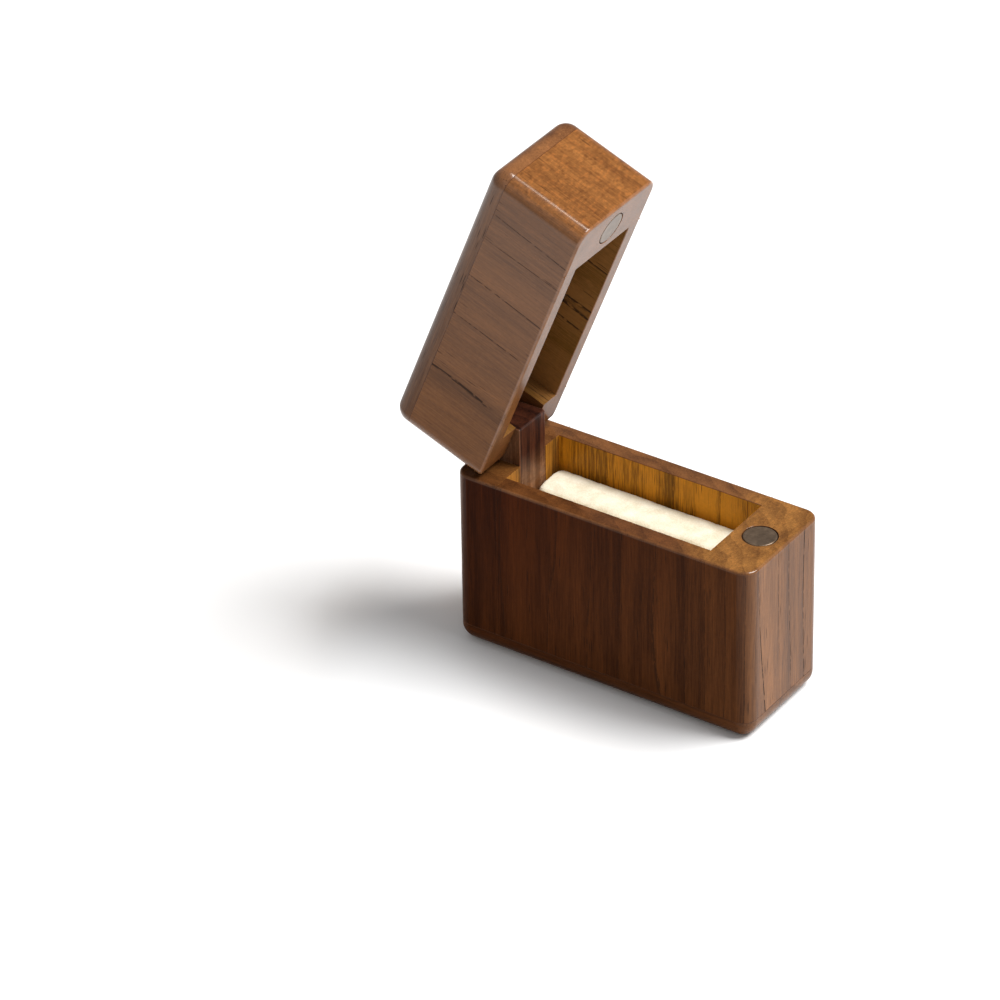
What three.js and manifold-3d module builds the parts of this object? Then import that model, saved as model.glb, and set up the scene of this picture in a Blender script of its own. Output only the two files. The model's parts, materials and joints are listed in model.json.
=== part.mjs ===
// Slim wooden ring box, standing on its narrow base with the lid swung open.
// X runs from the hinge end to the free end, Y through the thin body, Z up.
// The origin is the centre of the underside. All sizes are millimetres.
import * as THREE from 'three';
import { mergeVertices } from 'three/addons/utils/BufferGeometryUtils.js';
import { RoundedBoxGeometry } from 'three/addons/geometries/RoundedBoxGeometry.js';
import Module from 'manifold-3d';

const wasm = await Module();
wasm.setup();

// ---- Driving dimensions -------------------------------------------------

// Outer body
const boxLength = 50;
const boxThickness = 19.3;
const baseHeight = 28.6;
const lidHeight = 16.3;
const seamGap = 0.4;
const outerRadius = 2.4;

// Boards that make up the shells
const panelThickness = 2.9;
const bottomThickness = 3;
const topThickness = 3;
const magnetBlockLength = 8.2;
const hingeBlockLength = 7.3;
const glueLine = 0.1;
const lidGlueLine = 0.3;

// Hinge
const pinInset = 2.5;
const pinHeight = 3.2;
const pinRadius = 0.8;
const pinEmbed = 4;
const pressClearance = 0.05;
const runningClearance = 0.08;
const tongueWidth = 6.6;
const tongueRise = 6.2;
const tongueSideClearance = 0.3;
const tongueHeadClearance = 0.45;
const tongueInnerRadius = 0.3;
const turnClearance = 0.15;
const openAngle = 68.5;

// Magnets
const magnetRadius = 2.5;
const magnetDepth = 2;
const magnetInset = 4.3;
const magnetClearance = 0.05;

// Ring cushion
const cushionCrownDepth = 4.3;
const cushionEdgeDepth = 6.3;
const cushionGap = 0.3;
const cushionLipRadius = 1.2;
const slitWidth = 0.3;
const boardThickness = 1;

// Facets
const cornerSegments = 4;
const arcSegments = 8;
const roundSegments = 24;
const overcut = 1;

// ---- Places worked out from the sizes -----------------------------------

const hingeEnd = -boxLength / 2;
const freeEnd = boxLength / 2;
const cavityStart = hingeEnd + hingeBlockLength;
const cavityEnd = freeEnd - magnetBlockLength;
const outerY = boxThickness / 2;
const cavityY = outerY - panelThickness;
const pinX = hingeEnd + pinInset;
const pinZ = baseHeight + pinHeight;
const lidRim = baseHeight + seamGap;
const lidTop = lidRim + lidHeight;
const lidCeiling = lidTop - topThickness;
const magnetX = freeEnd - magnetInset;
const slotY = tongueWidth / 2 + tongueSideClearance;
const tongueTop = baseHeight + tongueRise;
const bridgeFloor = tongueTop + tongueHeadClearance;

// Radius of the lid's lower hinge edge: the rounded edge just clears the rim as it turns about the pin
function heelRadiusAt(inset, height, reach) {
  const half = inset + height - reach;
  return half - Math.sqrt(half * half - (inset * inset + height * height - reach * reach));
}
const heelRadius = heelRadiusAt(pinInset, pinHeight - seamGap, pinHeight - turnClearance);

// ---- Solids: shapes from three.js, cut and joined with manifold ----------

function toSolid(geometry) {
  const bare = geometry.clone();
  bare.deleteAttribute('normal');
  bare.deleteAttribute('uv');
  const merged = mergeVertices(bare, 1e-5);
  return new wasm.Manifold(new wasm.Mesh({
    numProp: 3,
    vertProperties: new Float32Array(merged.attributes.position.array),
    triVerts: new Uint32Array(merged.index.array),
  }));
}

function toGeometry(solid) {
  const mesh = solid.getMesh();
  const geometry = new THREE.BufferGeometry();
  geometry.setAttribute('position', new THREE.BufferAttribute(new Float32Array(mesh.vertProperties), 3));
  geometry.setIndex(new THREE.BufferAttribute(new Uint32Array(mesh.triVerts), 1));
  return geometry;
}

function block([x0, x1], [y0, y1], [z0, z1]) {
  const geometry = new THREE.BoxGeometry(x1 - x0, y1 - y0, z1 - z0);
  geometry.translate((x0 + x1) / 2, (y0 + y1) / 2, (z0 + z1) / 2);
  return toSolid(geometry);
}

// Upright round bar
function post(radius, x, y, [z0, z1]) {
  const geometry = new THREE.CylinderGeometry(radius, radius, z1 - z0, roundSegments);
  geometry.rotateX(Math.PI / 2);
  geometry.translate(x, y, (z0 + z1) / 2);
  return toSolid(geometry);
}

// Round bar along Y, on the hinge axis
function hingeBar(radius, [y0, y1]) {
  const geometry = new THREE.CylinderGeometry(radius, radius, y1 - y0, roundSegments);
  geometry.translate(pinX, (y0 + y1) / 2, pinZ);
  return toSolid(geometry);
}

// An outline drawn in X and Z, given its width along Y
function slab(outline, [y0, y1]) {
  const geometry = new THREE.ExtrudeGeometry(outline, {
    depth: y1 - y0,
    bevelEnabled: false,
    curveSegments: arcSegments,
  });
  geometry.rotateX(Math.PI / 2);
  geometry.translate(0, y1, 0);
  return toSolid(geometry);
}

// ---- Outer forms ---------------------------------------------------------

// The rounded outside of the base, running past the rim
function baseForm() {
  const height = baseHeight + outerRadius + overcut;
  const geometry = new RoundedBoxGeometry(boxLength, boxThickness, height, cornerSegments, outerRadius);
  geometry.translate(0, 0, height / 2);
  return toSolid(geometry);
}

// The rounded outside of the closed lid, running past its rim
function lidForm() {
  const height = lidHeight + outerRadius + overcut;
  const geometry = new RoundedBoxGeometry(boxLength, boxThickness, height, cornerSegments, outerRadius);
  geometry.translate(0, 0, lidTop - height / 2);
  return toSolid(geometry);
}

// What is rounded off the lid's lower hinge edge, so that it turns clear of the base
function heelCutter() {
  const outline = new THREE.Shape();
  outline.moveTo(hingeEnd - overcut, lidRim - overcut);
  outline.lineTo(hingeEnd + heelRadius, lidRim - overcut);
  outline.lineTo(hingeEnd + heelRadius, lidRim);
  outline.absarc(hingeEnd + heelRadius, lidRim + heelRadius, heelRadius, -Math.PI / 2, -Math.PI, true);
  outline.lineTo(hingeEnd - overcut, lidRim + heelRadius);
  outline.closePath();
  return slab(outline, [-outerY - overcut, outerY + overcut]);
}

const past = [-outerY - overcut, outerY + overcut];
const baseOutside = baseForm();
const lidOutside = lidForm().subtract(heelCutter());

// ---- Base ----------------------------------------------------------------

function baseBottomPlate() {
  const wholeLength = [hingeEnd - overcut, freeEnd + overcut];
  return baseOutside.intersect(block(wholeLength, past, [-overcut, bottomThickness]));
}

// side is -1 for the front panel and 1 for the back panel
function basePanel(side) {
  const span = [cavityStart + glueLine, cavityEnd - glueLine];
  const across = [cavityY * side, outerY * side].sort((a, b) => a - b);
  return baseOutside.intersect(block(span, across, [bottomThickness + glueLine, baseHeight]));
}

function baseMagnetBlock() {
  const body = baseOutside.intersect(
    block([cavityEnd, freeEnd + overcut], past, [bottomThickness + glueLine, baseHeight]));
  const pocketFloor = baseHeight - magnetDepth - magnetClearance;
  const pocket = post(magnetRadius + magnetClearance, magnetX, 0, [pocketFloor, baseHeight + overcut]);
  return body.subtract(pocket);
}

// The boards that hold the tongue between them
function baseHingeBlock(side) {
  const across = [(tongueWidth / 2 + glueLine) * side, (outerY + overcut) * side].sort((a, b) => a - b);
  return baseOutside.intersect(
    block([hingeEnd - overcut, cavityStart], across, [bottomThickness + glueLine, baseHeight]));
}

// Upright board with a flat head, rounded at the outer side so that it turns inside the lid
function hingeTongue() {
  const outline = new THREE.Shape();
  outline.moveTo(hingeEnd, bottomThickness + glueLine);
  outline.lineTo(cavityStart, bottomThickness + glueLine);
  outline.lineTo(cavityStart, tongueTop - tongueInnerRadius);
  outline.absarc(cavityStart - tongueInnerRadius, tongueTop - tongueInnerRadius, tongueInnerRadius,
    0, Math.PI / 2, false);
  outline.lineTo(pinX, tongueTop);
  outline.absarc(pinX, tongueTop - pinInset, pinInset, Math.PI / 2, Math.PI, false);
  outline.closePath();
  const board = slab(outline, [-tongueWidth / 2, tongueWidth / 2]);
  return board.subtract(hingeBar(pinRadius + runningClearance, past));
}

function magnet([z0, z1]) {
  return post(magnetRadius, magnetX, 0, [z0, z1]);
}

// ---- Ring cushion ----------------------------------------------------------

function cushionBoard() {
  const gapX = [cavityStart + cushionGap, cavityEnd - cushionGap];
  const gapY = [-cavityY + cushionGap, cavityY - cushionGap];
  return block(gapX, gapY, [bottomThickness, bottomThickness + boardThickness]);
}

// One crowned pad each side of the slit that grips the ring
function cushionHalf(side) {
  const wallY = cavityY - cushionGap;
  const slitY = slitWidth / 2;
  const floor = bottomThickness + boardThickness;
  const crown = baseHeight - cushionCrownDepth;
  const edge = baseHeight - cushionEdgeDepth;
  const outline = new THREE.Shape();
  outline.moveTo(slitY, floor);
  outline.lineTo(wallY, floor);
  outline.lineTo(wallY, edge);
  outline.quadraticCurveTo(wallY, crown, slitY + cushionLipRadius, crown);
  outline.absarc(slitY + cushionLipRadius, crown - cushionLipRadius, cushionLipRadius,
    Math.PI / 2, Math.PI, false);
  outline.closePath();
  const geometry = new THREE.ExtrudeGeometry(outline, {
    depth: cavityEnd - cavityStart - 2 * cushionGap,
    bevelEnabled: false,
    curveSegments: arcSegments,
  });
  geometry.rotateX(Math.PI / 2);
  geometry.rotateZ(Math.PI / 2);
  geometry.translate(cavityStart + cushionGap, 0, 0);
  const pad = toSolid(geometry);
  return side > 0 ? pad : pad.mirror([0, 1, 0]);
}

// ---- Lid, in its closed place ----------------------------------------------

function lidTopPlate() {
  return lidOutside.intersect(
    block([hingeEnd - overcut, freeEnd + overcut], past, [lidCeiling, lidTop + overcut]));
}

function lidPanel(side) {
  const span = [cavityStart + lidGlueLine, cavityEnd - lidGlueLine];
  const across = [cavityY * side, outerY * side].sort((a, b) => a - b);
  return lidOutside.intersect(block(span, across, [lidRim, lidCeiling - lidGlueLine]));
}

function lidMagnetBlock() {
  const body = lidOutside.intersect(
    block([cavityEnd, freeEnd + overcut], past, [lidRim, lidCeiling - lidGlueLine]));
  const pocketTop = lidRim + magnetDepth + magnetClearance;
  const pocket = post(magnetRadius + magnetClearance, magnetX, 0, [lidRim - overcut, pocketTop]);
  return body.subtract(pocket);
}

// The cheeks either side of the tongue, each with a blind hole for the pin
function lidHingeCheek(side) {
  const across = [slotY * side, (outerY + overcut) * side].sort((a, b) => a - b);
  const body = lidOutside.intersect(
    block([hingeEnd - overcut, cavityStart], across, [lidRim, lidCeiling - lidGlueLine]));
  const holeEnd = slotY + pinEmbed + pressClearance;
  return body.subtract(hingeBar(pinRadius + pressClearance, [-holeEnd, holeEnd]));
}

// Short block between the cheeks, above the tongue
function lidHingeBridge() {
  const across = [-slotY + lidGlueLine, slotY - lidGlueLine];
  return block([hingeEnd, cavityStart], across, [bridgeFloor, lidCeiling - lidGlueLine]);
}

function hingePin() {
  const pinEnd = slotY + pinEmbed;
  return hingeBar(pinRadius, [-pinEnd, pinEnd]);
}

// ---- Finishes ----------------------------------------------------------------

const finishes = {
  panelWood: { color: 0x6b4431, roughness: 0.42, metalness: 0 },
  endWood: { color: 0x8a5732, roughness: 0.45, metalness: 0 },
  plateWood: { color: 0x74492f, roughness: 0.42, metalness: 0 },
  hingeWood: { color: 0x6a4a2c, roughness: 0.5, metalness: 0 },
  magnetSteel: { color: 0x6f6257, roughness: 0.4, metalness: 0.9 },
  pinBrass: { color: 0xb08d4a, roughness: 0.3, metalness: 1 },
  creamSuede: { color: 0xf2e9d6, roughness: 0.95, metalness: 0 },
  greyCard: { color: 0xa8a094, roughness: 0.9, metalness: 0 },
};

// ---- Assembly ------------------------------------------------------------------

function piece(name, solid, finish) {
  const mesh = new THREE.Mesh(toGeometry(solid), new THREE.MeshStandardMaterial(finishes[finish]));
  mesh.name = name;
  return mesh;
}

const base = new THREE.Group();
base.add(piece('base_bottom_plate', baseBottomPlate(), 'plateWood'));
base.add(piece('base_front_panel', basePanel(-1), 'panelWood'));
base.add(piece('base_back_panel', basePanel(1), 'panelWood'));
base.add(piece('base_magnet_block', baseMagnetBlock(), 'endWood'));
base.add(piece('base_hinge_block_front', baseHingeBlock(-1), 'endWood'));
base.add(piece('base_hinge_block_back', baseHingeBlock(1), 'endWood'));
base.add(piece('hinge_tongue', hingeTongue(), 'hingeWood'));
base.add(piece('base_magnet', magnet([baseHeight - magnetDepth, baseHeight]), 'magnetSteel'));
base.add(piece('cushion_board', cushionBoard(), 'greyCard'));
base.add(piece('cushion_front_half', cushionHalf(-1), 'creamSuede'));
base.add(piece('cushion_back_half', cushionHalf(1), 'creamSuede'));

// The lid's pieces keep their closed coordinates inside a group that turns about the pin
const lidParts = new THREE.Group();
lidParts.position.set(-pinX, 0, -pinZ);
lidParts.add(piece('lid_top_plate', lidTopPlate(), 'plateWood'));
lidParts.add(piece('lid_front_panel', lidPanel(-1), 'panelWood'));
lidParts.add(piece('lid_back_panel', lidPanel(1), 'panelWood'));
lidParts.add(piece('lid_magnet_block', lidMagnetBlock(), 'endWood'));
lidParts.add(piece('lid_hinge_cheek_front', lidHingeCheek(-1), 'endWood'));
lidParts.add(piece('lid_hinge_cheek_back', lidHingeCheek(1), 'endWood'));
lidParts.add(piece('lid_hinge_bridge', lidHingeBridge(), 'endWood'));
lidParts.add(piece('lid_magnet', magnet([lidRim, lidRim + magnetDepth]), 'magnetSteel'));
lidParts.add(piece('hinge_pin', hingePin(), 'pinBrass'));

const lid = new THREE.Group();
lid.position.set(pinX, 0, pinZ);
lid.rotation.y = -THREE.MathUtils.degToRad(openAngle);
lid.add(lidParts);

const ringBox = new THREE.Group();
ringBox.add(base);
ringBox.add(lid);

export default ringBox;
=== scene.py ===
import json
import math
import bmesh
import bpy
from mathutils import Matrix, Vector, noise

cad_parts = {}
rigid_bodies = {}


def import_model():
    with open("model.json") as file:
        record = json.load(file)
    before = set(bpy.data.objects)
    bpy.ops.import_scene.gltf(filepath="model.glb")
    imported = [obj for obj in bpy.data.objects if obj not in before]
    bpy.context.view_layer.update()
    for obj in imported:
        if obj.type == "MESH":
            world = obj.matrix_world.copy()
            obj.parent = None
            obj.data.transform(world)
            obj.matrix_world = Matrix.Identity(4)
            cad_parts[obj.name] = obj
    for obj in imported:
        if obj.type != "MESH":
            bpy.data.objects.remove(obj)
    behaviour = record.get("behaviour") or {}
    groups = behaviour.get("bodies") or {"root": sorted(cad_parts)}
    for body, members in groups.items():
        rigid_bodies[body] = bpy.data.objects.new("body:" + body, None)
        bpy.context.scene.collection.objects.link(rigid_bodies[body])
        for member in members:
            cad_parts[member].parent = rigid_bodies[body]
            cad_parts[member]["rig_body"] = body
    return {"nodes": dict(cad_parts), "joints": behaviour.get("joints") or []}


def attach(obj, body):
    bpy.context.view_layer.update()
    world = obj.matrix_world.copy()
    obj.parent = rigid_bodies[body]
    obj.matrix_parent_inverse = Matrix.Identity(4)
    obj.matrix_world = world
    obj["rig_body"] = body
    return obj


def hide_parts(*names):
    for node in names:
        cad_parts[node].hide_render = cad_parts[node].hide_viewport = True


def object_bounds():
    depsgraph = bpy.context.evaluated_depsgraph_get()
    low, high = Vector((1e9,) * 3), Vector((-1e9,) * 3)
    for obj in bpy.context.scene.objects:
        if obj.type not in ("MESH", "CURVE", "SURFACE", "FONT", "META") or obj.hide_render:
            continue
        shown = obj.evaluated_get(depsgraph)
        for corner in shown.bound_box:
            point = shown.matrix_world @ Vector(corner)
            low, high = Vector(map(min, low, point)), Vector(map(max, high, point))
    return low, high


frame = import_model()
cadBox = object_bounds()
mm = 0.001
print("frame loaded:", len(frame["nodes"]), "nodes")

# The lid is drawn shut and then swung open about its hinge pin
hinge = next(j for j in frame["joints"] if j["name"] == "lid_hinge")
hingePlace = Vector(hinge["pos_m"]) / mm
openTurn = Matrix.Rotation(-math.radians(hinge["range_deg"][0]), 4, Vector(hinge["axis"]))
lidOpen = Matrix.Translation(hingePlace) @ openTurn @ Matrix.Translation(-hingePlace)
lidShut = lidOpen.inverted()


def bodyOf(node):
    return frame["nodes"][node]["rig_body"]


# Lowest and highest corner of a node with the box shut, in millimetres
def shutBox(node):
    turn = lidShut if bodyOf(node) == "lid" else Matrix.Identity(4)
    places = [turn @ (v.co / mm) for v in frame["nodes"][node].data.vertices]
    low = Vector([min(p[i] for p in places) for i in range(3)])
    high = Vector([max(p[i] for p in places) for i in range(3)])
    return low, high


# Sets a node's sockets from values or from other nodes' outputs
def feed(tree, node, values):
    for key, value in values.items():
        if isinstance(value, bpy.types.NodeSocket):
            tree.links.new(value, node.inputs[key])
        else:
            node.inputs[key].default_value = value


def addNode(tree, kind, inputs=None, **settings):
    node = tree.nodes.new(kind)
    for name, value in settings.items():
        setattr(node, name, value)
    feed(tree, node, inputs or {})
    return node


def groupInputs(tree, sockets):
    for name, kind, value in sockets:
        socket = tree.interface.new_socket(name, in_out="INPUT", socket_type=kind)
        if value is not None:
            socket.default_value = value
    return tree.nodes.new("NodeGroupInput").outputs


def addObject(name, data):
    item = bpy.data.objects.new(name, data)
    bpy.context.scene.collection.objects.link(item)
    return item


# The mesh of an object with its modifiers applied
def evaluatedMesh(item, name):
    bpy.context.view_layer.update()
    graph = bpy.context.evaluated_depsgraph_get()
    mesh = bpy.data.meshes.new_from_object(item.evaluated_get(graph))
    mesh.name = name
    return mesh


def newMaterial(name):
    material = bpy.data.materials.new(name)
    material.use_nodes = True
    return material, material.node_tree, material.node_tree.nodes["Principled BSDF"]


def attributeVector(tree, name):
    return addNode(tree, "ShaderNodeAttribute", attribute_name=name).outputs["Vector"]


def noiseAt(tree, place, scale, detail, roughness):
    return addNode(tree, "ShaderNodeTexNoise", {
        "Vector": place, "Scale": scale, "Detail": detail, "Roughness": roughness}).outputs["Fac"]


def stretchedPlace(tree, place, scale):
    return addNode(tree, "ShaderNodeMapping", {"Vector": place, "Scale": scale}).outputs[0]


def scaledRange(tree, value, low, high):
    return addNode(tree, "ShaderNodeMapRange", {
        "Value": value, "To Min": low, "To Max": high}).outputs[0]


# A ramp between two colours, each given as its position and its colour
def addRamp(tree, value, low, high):
    ramp = addNode(tree, "ShaderNodeValToRGB", {0: value})
    for stop, (position, colour) in zip(ramp.color_ramp.elements, (low, high)):
        stop.position = position
        stop.color = (*colour, 1)
    return ramp.outputs[0]


# Depth is in millimetres
def addRelief(tree, surface, strength, depth, height):
    relief = addNode(tree, "ShaderNodeBump", {
        "Strength": strength, "Distance": depth * mm, "Height": height})
    tree.links.new(relief.outputs[0], surface.inputs["Normal"])


def averaged(tree, first, second):
    total = addNode(tree, "ShaderNodeMath", {0: first, 1: second}, operation="ADD").outputs[0]
    return addNode(tree, "ShaderNodeMath", {0: total, 1: 0.5}, operation="MULTIPLY").outputs[0]


# The wooden shell, in millimetres
shell = {
    "outerRadius": 2.4,     # big rounding of every outer edge
    "arcSteps": 8,          # facets in half of a quarter round
    "outerEase": 0.42,      # sanded edge round the rims
    "innerEase": 0.16,      # sanded edge round the cavity
    "boreEase": 0.07,       # edge of a drilled hole
    "plateEase": 0.05,      # faint line where the top or bottom plate meets the rest
    "panelEase": 0.012,     # joint between upright boards, sanded away
    "easeSegments": 4,
    "easeFrom": 32,         # edges that turn more than this many degrees are eased
    "turnClearance": 0.15,  # air left under the lid's heel as it turns
    "magnetGap": 0.13,      # dark ring round each magnet
    "pocketGap": 0.05,      # air between a magnet and the floor of its pocket
    "pinGap": 0.02,         # air round the hinge pin
    "drillSides": 64,
    "boardSpare": 5,        # how far a cutting block runs past the form
    "farAway": 40,          # well outside the box on every side
    "near": 0.02,           # two places this close count as one
}


# A box with all its edges rounded: grid lines crowd into the corners at equal angles
def roundedFormTree():
    tree = bpy.data.node_groups.new("roundedForm", "GeometryNodeTree")
    given = groupInputs(tree, [
        ("Low", "NodeSocketVector", None), ("High", "NodeSocketVector", None),
        ("Radius", "NodeSocketFloat", 1), ("Arc steps", "NodeSocketInt", 8)])
    tree.interface.new_socket("Form", in_out="OUTPUT", socket_type="NodeSocketGeometry")

    def vector(operation, first, second=None, scale=None):
        sockets = {0: first}
        if second is not None:
            sockets[1] = second
        if scale is not None:
            sockets["Scale"] = scale
        return addNode(tree, "ShaderNodeVectorMath", sockets, operation=operation).outputs[0]

    def number(operation, first, second):
        sockets = {0: first, 1: second}
        return addNode(tree, "ShaderNodeMath", sockets, operation=operation).outputs[0]

    steps = given["Arc steps"]
    gaps = number("ADD", number("MULTIPLY", steps, 2), 1)
    lines = number("ADD", gaps, 1)
    cube = addNode(tree, "GeometryNodeMeshCube", {
        "Size": (2, 2, 2), "Vertices X": lines, "Vertices Y": lines, "Vertices Z": lines})
    place = addNode(tree, "GeometryNodeInputPosition").outputs[0]
    away = vector("ABSOLUTE", place)
    side = vector("DIVIDE", place, away)
    twice = vector("SUBTRACT", vector("SCALE", away, scale=gaps), (1, 1, 1))
    step = vector("SCALE", twice, scale=0.5)
    angle = vector("SCALE", step, scale=number("DIVIDE", math.pi / 4, steps))
    lean = vector("MULTIPLY", side, vector("TANGENT", angle))
    reach = vector("SCALE", vector("NORMALIZE", lean), scale=given["Radius"])
    half = vector("SCALE", vector("SUBTRACT", given["High"], given["Low"]), scale=0.5)
    middle = vector("SCALE", vector("ADD", given["High"], given["Low"]), scale=0.5)
    round3 = addNode(tree, "ShaderNodeCombineXYZ", {
        0: given["Radius"], 1: given["Radius"], 2: given["Radius"]}).outputs[0]
    core = vector("MULTIPLY", side, vector("SUBTRACT", half, round3))
    moved = addNode(tree, "GeometryNodeSetPosition", {
        "Geometry": cube.outputs["Mesh"],
        "Position": vector("ADD", middle, vector("ADD", core, reach))})
    end = tree.nodes.new("NodeGroupOutput")
    tree.links.new(moved.outputs[0], end.inputs[0])
    return tree


# One board: what a plain block and the rounded outside have in common, with a hole drilled in it
def boardTree(formTree):
    tree = bpy.data.node_groups.new("boxBoard", "GeometryNodeTree")
    names = ["Form low", "Form high", "Heel low", "Heel high", "Board low", "Board high"]
    given = groupInputs(tree, [("Geometry", "NodeSocketGeometry", None)] + [
        (name, "NodeSocketVector", None) for name in names] + [
        ("Outer radius", "NodeSocketFloat", 1), ("Heel radius", "NodeSocketFloat", 1),
        ("Arc steps", "NodeSocketInt", 8), ("Bore place", "NodeSocketVector", None),
        ("Bore turn", "NodeSocketVector", None), ("Bore radius", "NodeSocketFloat", 1),
        ("Bore depth", "NodeSocketFloat", 1), ("Wood", "NodeSocketMaterial", None)])
    tree.interface.new_socket("Board", in_out="OUTPUT", socket_type="NodeSocketGeometry")
    shapes = []
    for low, high, radius in [
            ("Form low", "Form high", "Outer radius"), ("Heel low", "Heel high", "Heel radius")]:
        form = addNode(tree, "GeometryNodeGroup", node_tree=formTree)
        for socket, source in [("Low", low), ("High", high), ("Radius", radius),
                               ("Arc steps", "Arc steps")]:
            tree.links.new(given[source], form.inputs[socket])
        shapes.append(form.outputs[0])
    size = addNode(tree, "ShaderNodeVectorMath", {
        0: given["Board high"], 1: given["Board low"]}, operation="SUBTRACT").outputs[0]
    total = addNode(tree, "ShaderNodeVectorMath", {
        0: given["Board high"], 1: given["Board low"]}, operation="ADD").outputs[0]
    middle = addNode(tree, "ShaderNodeVectorMath", {
        0: total, "Scale": 0.5}, operation="SCALE").outputs[0]
    block = addNode(tree, "GeometryNodeMeshCube", {"Size": size})
    placed = addNode(tree, "GeometryNodeTransform", {
        "Geometry": block.outputs["Mesh"], "Translation": middle})
    common = addNode(tree, "GeometryNodeMeshBoolean", operation="INTERSECT", solver="EXACT")
    for shape in [placed.outputs[0], shapes[1], shapes[0]]:
        tree.links.new(shape, common.inputs["Mesh 2"])
    drill = addNode(tree, "GeometryNodeMeshCylinder", {
        "Vertices": shell["drillSides"], "Radius": given["Bore radius"],
        "Depth": given["Bore depth"]})
    drillPlaced = addNode(tree, "GeometryNodeTransform", {
        "Geometry": drill.outputs["Mesh"], "Translation": given["Bore place"],
        "Rotation": given["Bore turn"]})
    bored = addNode(tree, "GeometryNodeMeshBoolean", {
        "Mesh 1": common.outputs["Mesh"], "Mesh 2": drillPlaced.outputs[0]},
        operation="DIFFERENCE", solver="EXACT")
    real = addNode(tree, "GeometryNodeRealizeInstances", {"Geometry": bored.outputs["Mesh"]})
    painted = addNode(tree, "GeometryNodeSetMaterial", {
        "Geometry": real.outputs[0], "Material": given["Wood"]})
    end = tree.nodes.new("NodeGroupOutput")
    tree.links.new(painted.outputs[0], end.inputs[0])
    return tree


formTree = roundedFormTree()
woodTree = boardTree(formTree)


# Runs a tree with its named values and gives back the plain mesh
def meshFromTree(tree, name, values):
    holder = addObject(name + "_draft", bpy.data.meshes.new(name + "_draft"))
    maker = holder.modifiers.new("maker", "NODES")
    maker.node_group = tree
    for item in tree.interface.items_tree:
        if item.in_out == "INPUT" and item.name in values:
            maker[item.identifier] = values[item.name]
    mesh = evaluatedMesh(holder, name)
    bpy.data.objects.remove(holder)
    return mesh


print("form trees built")

# Corners of the shut box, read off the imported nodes
bottomLow, bottomHigh = shutBox("base_bottom_plate")
panelHigh = shutBox("base_front_panel")[1]
blockLow = shutBox("base_magnet_block")[0]
cheekLow = shutBox("lid_hinge_cheek_back")[0]
lidBlockLow = shutBox("lid_magnet_block")[0]
lidPanelLow, lidPanelHigh = shutBox("lid_front_panel")
lidTopLow, lidTopHigh = shutBox("lid_top_plate")
tongueLow, tongueHigh = shutBox("hinge_tongue")
hingeBlockHigh = shutBox("base_hinge_block_back")[1]
rimZ = panelHigh.z
lidRimZ = lidPanelLow.z
cavityStart, cavityEnd = hingeBlockHigh.x, blockLow.x
cavityY = -panelHigh.y
baseGlue = blockLow.x - panelHigh.x
lidGlue = lidBlockLow.x - lidPanelHigh.x
cavity = (Vector((cavityStart, -cavityY, bottomHigh.z)), Vector((cavityEnd, cavityY, lidTopLow.z)))
spare, near = shell["boardSpare"], shell["near"]


# Radius that lets the lid's lower hinge edge turn past the rim
def heelRadius():
    inset = hingePlace.x - bottomLow.x
    height = hingePlace.z - lidRimZ
    reach = hingePlace.z - rimZ - shell["turnClearance"]
    half = inset + height - reach
    return half - math.sqrt(half * half - (inset * inset + height * height - reach * reach))


# Clouds in the wood: scale on three axes, the last along the grain, then detail, start,
# roughness and distortion
woodClouds = {
    "waver": ((0.09, 0.09, 0.008), 2, (0, 0, 0), 0.55, 0),
    "band": ((0.24, 0.24, 0.016), 3, (3, 7, 1), 0.55, 0.4),
    "fibre": ((2.6, 2.6, 0.07), 5, (5, 2, 8), 0.7, 0),
    "fineFibre": ((6, 6, 0.3), 3, (1, 9, 4), 0.65, 0),
    "fleck": ((2.4, 1.0, 1.7), 4, (2, 2, 6), 0.66, 0),
    "fleckPatch": ((0.5, 0.3, 0.5), 2, (8, 1, 3), 0.55, 0),
    "splitRun": ((0.5, 0.5, 0.1), 2, (4, 4, 4), 0.55, 0),
    "splitRough": ((3, 3, 0.9), 2, (9, 6, 2), 0.55, 0),
    "rub": ((0.5, 0.5, 0.3), 3, (6, 3, 5), 0.55, 0),
    "ripple": ((0.16, 0.16, 0.1), 2, (7, 7, 2), 0.55, 0),
    "haze": ((0.3, 0.3, 0.2), 3, (1, 5, 9), 0.55, 0),
}
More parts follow.
